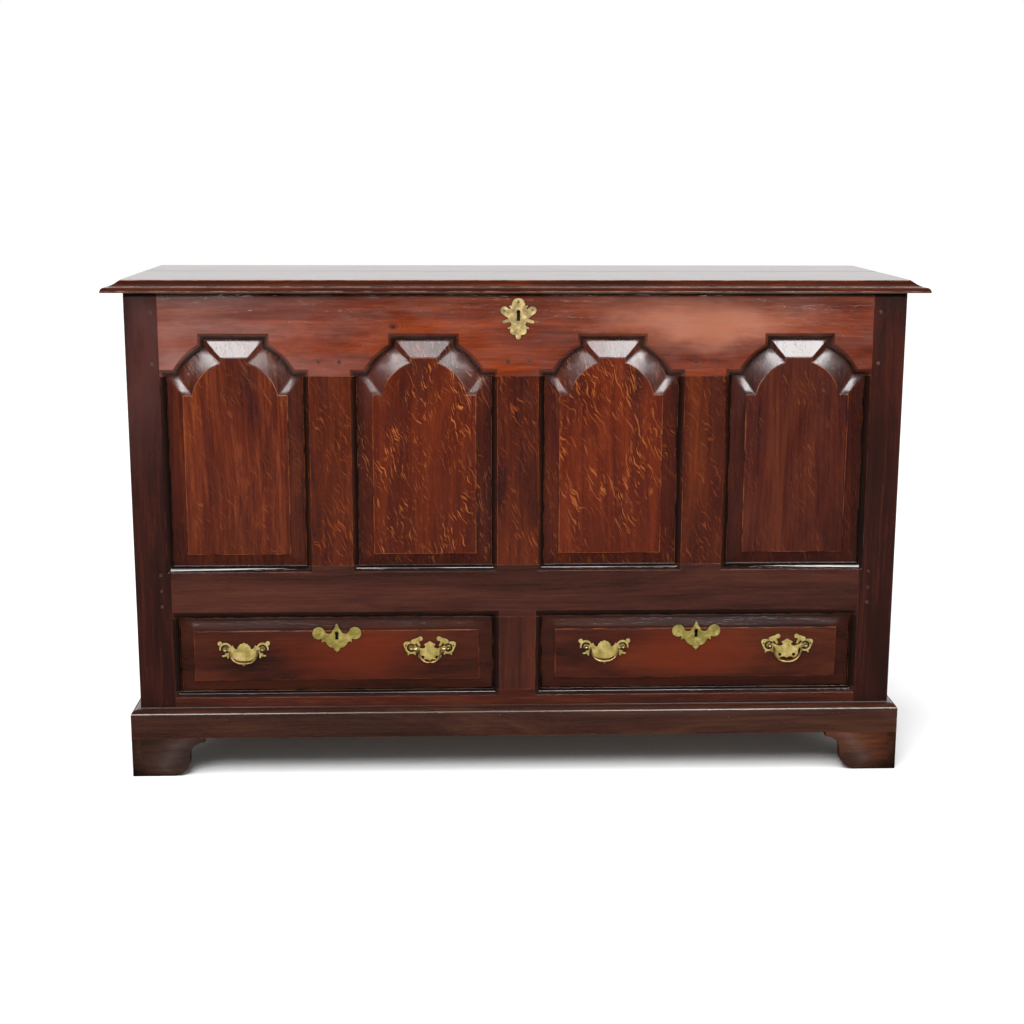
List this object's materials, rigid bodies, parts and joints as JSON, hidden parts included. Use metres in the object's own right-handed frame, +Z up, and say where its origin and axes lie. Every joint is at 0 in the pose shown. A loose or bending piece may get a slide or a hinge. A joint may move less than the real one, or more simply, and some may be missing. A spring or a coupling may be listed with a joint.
{
  "type": "mule chest",
  "caption": "Panelled oak chest with a lifting moulded lid above a row of drawers, on bracket feet, with brass bail handles and keyhole plates.",
  "frame": {"origin": "on the floor, under the middle of the chest's outline", "axes": "+X along the front, to the right of someone facing the chest; +Y from front to back; +Z up"},
  "size_m": [1.5, 0.484, 0.9385],
  "materials": {
    "oak_framing": "stained and waxed oak, dark red brown with paler ray flecks",
    "oak_panels": "stained and waxed oak, warmer brown, with ray flecks",
    "oak_drawer_fronts": "stained and waxed oak, warm red brown",
    "oak_lid": "stained oak, polished to a gloss",
    "oak_plinth": "stained and waxed oak",
    "oak_plain": "dry unpolished oak inside, dusty brown",
    "brass": "old polished brass, dull in the hollows",
    "wrought_iron": "dark forged iron",
    "lock_iron": "dark iron with a worn shine"
  },
  "bodies": {
    "carcass": {"chest_escutcheon": "brass", "chest_floor": "oak_plain", "chest_lock": "lock_iron", "drawer_divider": "oak_framing", "drawer_runners": "oak_plain", "end_frame_left": "oak_framing", "end_frame_right": "oak_framing", "end_panels_left": "oak_panels", "end_panels_right": "oak_panels", "foot_front_left": "oak_plinth", "foot_front_right": "oak_plinth", "foot_rear_left": "oak_plinth", "foot_rear_right": "oak_plinth", "frame_pegs": "oak_framing", "front_bottom_rail": "oak_framing", "front_mid_rail": "oak_framing", "front_muntins": "oak_framing", "front_panel_1": "oak_panels", "front_panel_2": "oak_panels", "front_panel_3": "oak_panels", "front_panel_4": "oak_panels", "front_stile_left": "oak_framing", "front_stile_right": "oak_framing", "front_top_rail": "oak_framing", "hinge_carcass_leaves": "wrought_iron", "hinge_pins": "wrought_iron", "plinth_front": "oak_plinth", "plinth_left": "oak_plinth", "plinth_right": "oak_plinth", "rear_frame": "oak_plain", "rear_panels": "oak_plain"},
    "lid": {"lid_board_front": "oak_lid", "lid_board_rear": "oak_lid", "lid_battens": "oak_plain", "hinge_lid_straps": "wrought_iron", "chest_lock_staple": "wrought_iron"},
    "chest_lock_bolt": {"chest_lock_bolt": "lock_iron"},
    "drawer_left": {"drawer_left_front": "oak_drawer_fronts", "drawer_left_sides": "oak_plain", "drawer_left_back": "oak_plain", "drawer_left_bottom": "oak_plain", "drawer_left_lock": "lock_iron", "drawer_left_escutcheon": "brass", "drawer_left_backplates": "brass", "drawer_left_handle_posts": "brass"},
    "drawer_left_lock_bolt": {"drawer_left_lock_bolt": "lock_iron"},
    "drawer_left_bail_left": {"drawer_left_bail_left": "brass"},
    "drawer_left_bail_right": {"drawer_left_bail_right": "brass"},
    "drawer_right": {"drawer_right_front": "oak_drawer_fronts", "drawer_right_sides": "oak_plain", "drawer_right_back": "oak_plain", "drawer_right_bottom": "oak_plain", "drawer_right_lock": "lock_iron", "drawer_right_escutcheon": "brass", "drawer_right_backplates": "brass", "drawer_right_handle_posts": "brass"},
    "drawer_right_lock_bolt": {"drawer_right_lock_bolt": "lock_iron"},
    "drawer_right_bail_left": {"drawer_right_bail_left": "brass"},
    "drawer_right_bail_right": {"drawer_right_bail_right": "brass"}
  },
  "joints": [
    {"name": "lid_hinge", "type": "hinge", "parent": "carcass", "child": "lid", "pos_m": [0, 0.2375, 0.9125], "axis": [-1, 0, 0], "range_deg": [0, 100]},
    {"name": "chest_lock_bolt_slide", "type": "slide", "parent": "carcass", "child": "chest_lock_bolt", "axis": [1, 0, 0], "range_m": [0, 0.009]},
    {"name": "drawer_left_slide", "type": "slide", "parent": "carcass", "child": "drawer_left", "axis": [0, -1, 0], "range_m": [0, 0.3]},
    {"name": "drawer_left_lock_bolt_slide", "type": "slide", "parent": "drawer_left", "child": "drawer_left_lock_bolt", "axis": [0, 0, 1], "range_m": [0, 0.007]},
    {"name": "drawer_left_bail_left_swing", "type": "hinge", "parent": "drawer_left", "child": "drawer_left_bail_left", "pos_m": [-0.51725, -0.2126, 0.2446], "axis": [-1, 0, 0], "range_deg": [0, 150]},
    {"name": "drawer_left_bail_right_swing", "type": "hinge", "parent": "drawer_left", "child": "drawer_left_bail_right", "pos_m": [-0.16625, -0.2126, 0.2446], "axis": [-1, 0, 0], "range_deg": [0, 150]},
    {"name": "drawer_right_slide", "type": "slide", "parent": "carcass", "child": "drawer_right", "axis": [0, -1, 0], "range_m": [0, 0.3]},
    {"name": "drawer_right_lock_bolt_slide", "type": "slide", "parent": "drawer_right", "child": "drawer_right_lock_bolt", "axis": [0, 0, 1], "range_m": [0, 0.007]},
    {"name": "drawer_right_bail_left_swing", "type": "hinge", "parent": "drawer_right", "child": "drawer_right_bail_left", "pos_m": [0.16625, -0.2126, 0.2446], "axis": [-1, 0, 0], "range_deg": [0, 150]},
    {"name": "drawer_right_bail_right_swing", "type": "hinge", "parent": "drawer_right", "child": "drawer_right_bail_right", "pos_m": [0.51725, -0.2126, 0.2446], "axis": [-1, 0, 0], "range_deg": [0, 150]}
  ]
}
